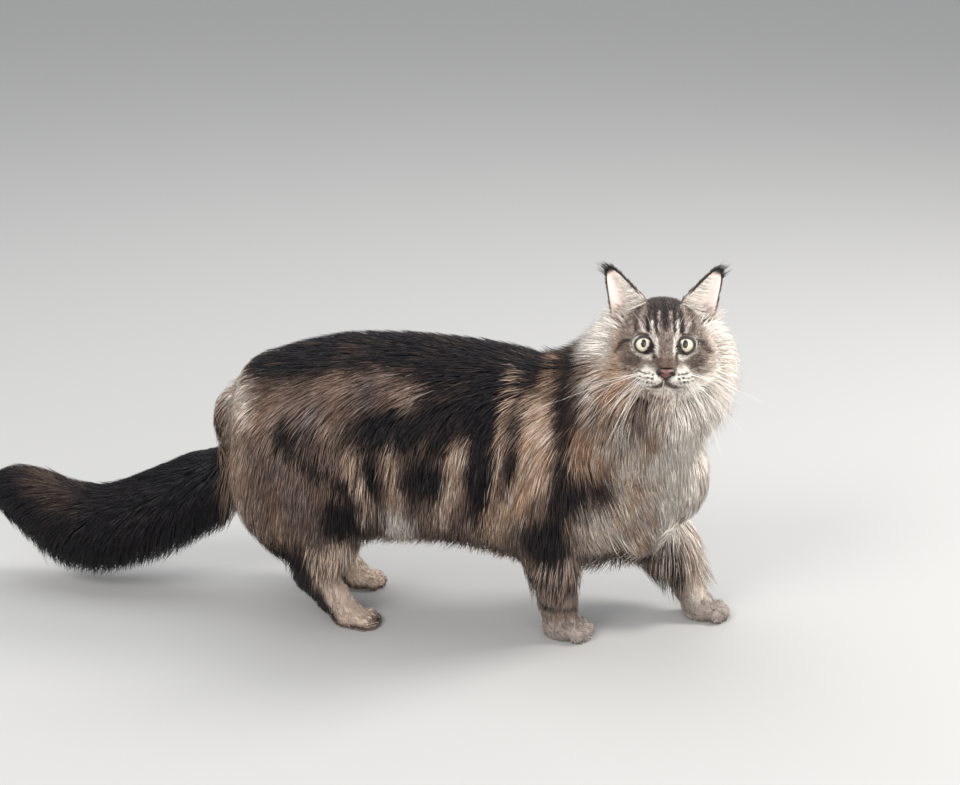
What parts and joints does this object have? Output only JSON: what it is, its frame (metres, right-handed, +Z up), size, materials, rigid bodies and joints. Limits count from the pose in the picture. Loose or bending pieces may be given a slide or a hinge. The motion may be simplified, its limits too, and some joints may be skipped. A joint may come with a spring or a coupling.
{
  "type": "maine coon cat",
  "caption": "Long-coated cat standing side-on as a still model, with its head turned to its right, tufted ears, a full ruff and a low plumed tail",
  "frame": {"origin": "on the floor, under the middle of the whole model's box", "axes": "+Z up, +X the way the body faces, +Y the cat's left"},
  "size_m": [0.9216, 0.2282, 0.456],
  "materials": {
    "eye": "glossy pale yellow-green",
    "nose": "matte brick pink",
    "face_coat": "short grey-brown fur with pale and dark marks",
    "ear": "thin fur, pale inside and dark at the rim",
    "coat": "long brown tabby fur",
    "dark_coat": "long black-brown fur",
    "ruff_coat": "long cream and grey-brown fur"
  },
  "bodies": {
    "root": {"eye_right": "eye", "eye_left": "eye", "nose": "nose", "head": "face_coat", "ear_right": "ear", "ear_left": "ear", "forepaw_right": "coat", "forepaw_left": "coat", "foreleg_right": "coat", "foreleg_left": "coat", "shoulder_right": "coat", "shoulder_left": "coat", "hind_paw_right": "coat", "hind_paw_left": "coat", "hind_leg_right": "coat", "hind_leg_left": "coat", "thigh_right": "coat", "thigh_left": "coat", "tail_base": "dark_coat", "tail_middle": "dark_coat", "tail_tip": "dark_coat", "neck": "ruff_coat", "torso": "coat"}
  },
  "joints": []
}
